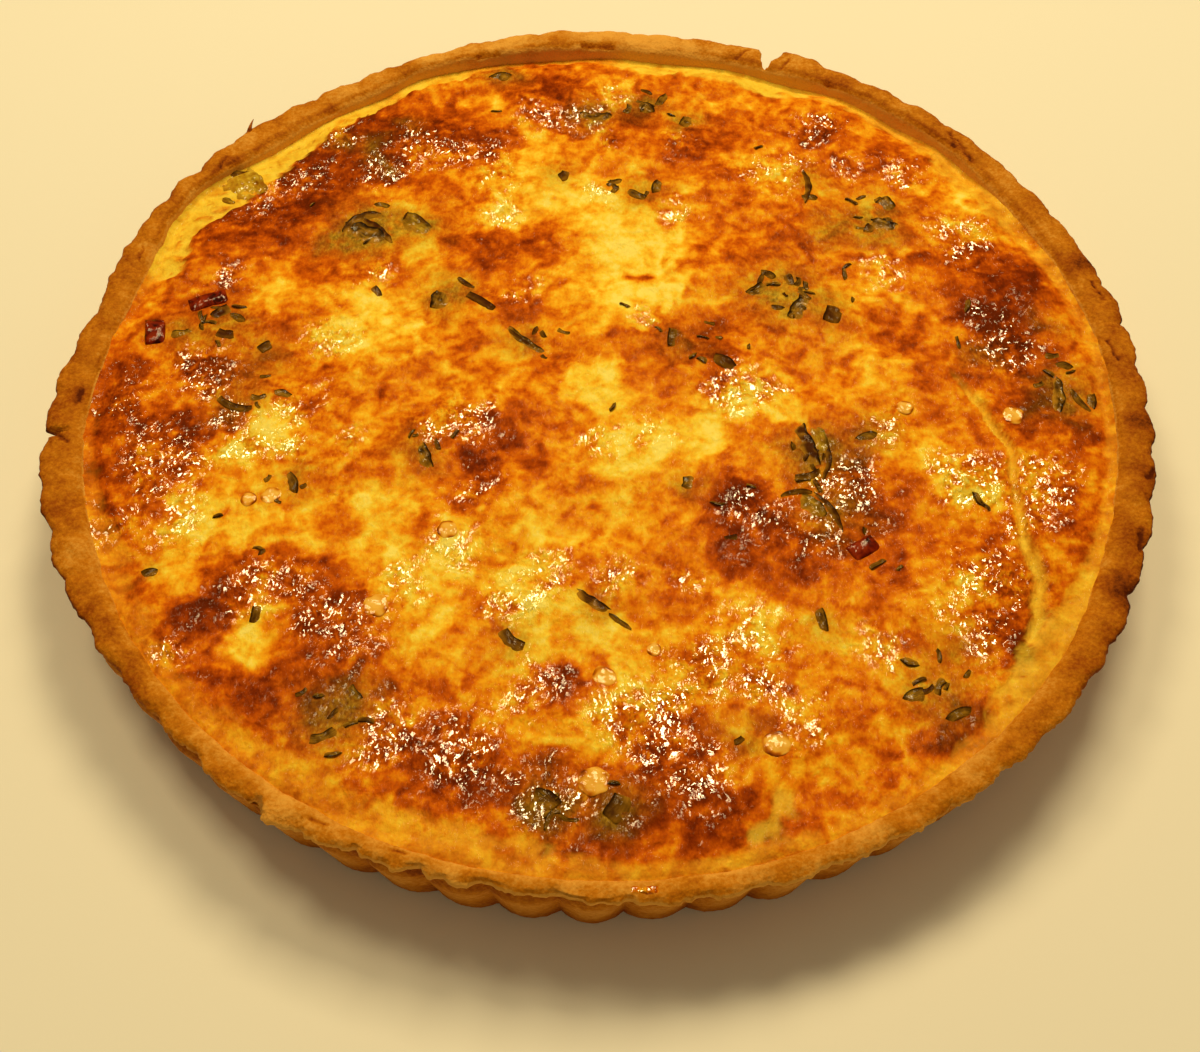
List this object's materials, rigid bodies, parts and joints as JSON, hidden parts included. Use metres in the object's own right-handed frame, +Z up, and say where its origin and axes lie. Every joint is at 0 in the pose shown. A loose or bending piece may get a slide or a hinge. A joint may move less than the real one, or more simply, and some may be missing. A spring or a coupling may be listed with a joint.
{
  "type": "quiche",
  "caption": "Whole round quiche: fluted shortcrust shell filled with browned, glossy egg custard with leek strips and ham chips in its skin.",
  "frame": {"origin": "middle of the flat base, at the height of the surface it rests on", "axes": "+Z up through the middle of the quiche; -Y towards the front, where the custard has run over part of the rim; +X to the right"},
  "size_m": [0.275, 0.2759, 0.0282],
  "materials": {
    "crust": "baked shortcrust, matte and crumbly, toasted darker at the rim and in the valleys of the flutes",
    "custard": "baked egg custard skin, glossy and wrinkled, yellow with orange-brown patches",
    "leek": "cooked leek, dark olive green with browned edges, moist",
    "ham": "browned ham, dark red-brown, moist"
  },
  "bodies": {
    "root": {"crust": "crust", "filling": "custard", "leek_1": "leek", "leek_2": "leek", "leek_3": "leek", "leek_4": "leek", "leek_5": "leek", "leek_6": "leek", "leek_7": "leek", "leek_8": "leek", "leek_9": "leek", "leek_10": "leek", "leek_11": "leek", "leek_12": "leek", "leek_13": "leek", "leek_14": "leek", "leek_15": "leek", "ham_1": "ham", "ham_2": "ham", "ham_3": "ham"}
  },
  "joints": []
}
